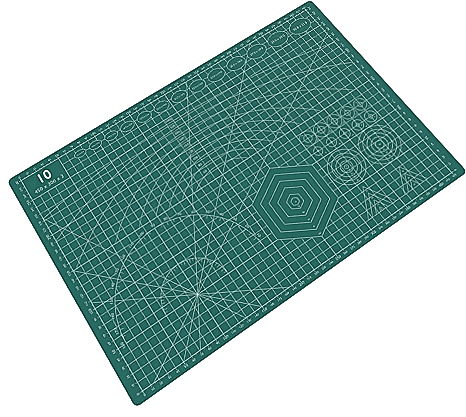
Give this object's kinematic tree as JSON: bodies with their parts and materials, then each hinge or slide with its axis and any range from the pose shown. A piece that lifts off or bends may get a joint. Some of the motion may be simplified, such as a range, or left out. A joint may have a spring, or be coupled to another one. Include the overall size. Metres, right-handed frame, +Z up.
{
  "type": "craft cutting mat",
  "caption": "Flat self-healing craft cutting mat with rounded corners, a laminated body and a printed measuring grid with angle, arc and shape guides.",
  "frame": {"origin": "middle of the underside, on the surface that the mat lies on", "axes": "+X along the long side, +Y along the short side towards the border with the row of ellipses, +Z up out of the printed face"},
  "size_m": [0.45, 0.3, 0.0031],
  "materials": {
    "face_vinyl": "fine matte grain",
    "healing_vinyl": "soft matte",
    "core_vinyl": "matte",
    "ink": "matte screen ink"
  },
  "bodies": {
    "root": {"bottom_face_ply": "face_vinyl", "lower_healing_ply": "healing_vinyl", "rigid_core_ply": "core_vinyl", "upper_healing_ply": "healing_vinyl", "top_face_ply": "face_vinyl", "print_uprights": "ink", "print_crosslines": "ink", "print_arcs_and_angles": "ink", "print_smallest_ring": "ink", "print_hexagon_1": "ink", "print_hexagon_2": "ink", "print_hexagon_3": "ink", "print_hexagon_4": "ink", "print_hexagon_5": "ink"}
  },
  "joints": []
}
